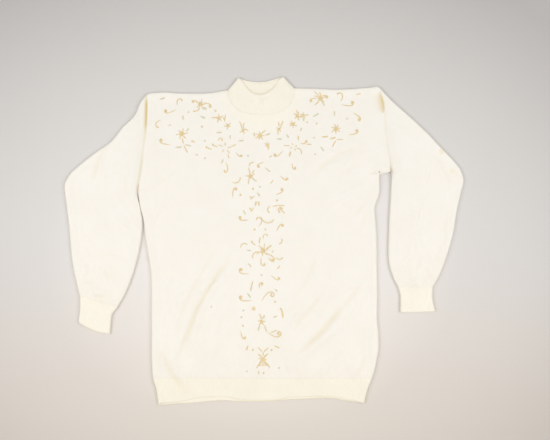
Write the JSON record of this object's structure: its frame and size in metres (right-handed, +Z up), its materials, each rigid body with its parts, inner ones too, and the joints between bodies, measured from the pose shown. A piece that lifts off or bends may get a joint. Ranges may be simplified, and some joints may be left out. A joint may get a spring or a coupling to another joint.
{
  "type": "knitted pullover laid flat",
  "caption": "Cream fine-knit pullover with a mock-turtle collar, laid flat, sleeves turned down, rib cuffs and hem, and gold and pale star-and-scroll embroidery on yoke and front.",
  "frame": {"origin": "middle of the bounding box's bottom, on the surface that the garment lies on", "axes": "+X towards the wearer's left sleeve, +Y from the hem to the collar, +Z up out of the front of the garment"},
  "size_m": [0.9552, 0.7872, 0.0078],
  "materials": {
    "fine_knit": "cream fine-gauge plain knit, matt and soft",
    "rib_knit": "cream ribbed knit, matt and a little warmer",
    "gold_thread": "twisted gold embroidery thread, satin sheen",
    "pale_thread": "pale champagne embroidery thread, satin sheen",
    "pearl_bead": "small pearl beads, soft gloss"
  },
  "bodies": {
    "root": {"front_panel": "fine_knit", "back_panel": "fine_knit", "left_sleeve": "fine_knit", "right_sleeve": "fine_knit", "collar": "rib_knit", "left_cuff": "rib_knit", "right_cuff": "rib_knit", "front_hem_rib": "rib_knit", "back_hem_rib": "rib_knit"}
  },
  "joints": []
}
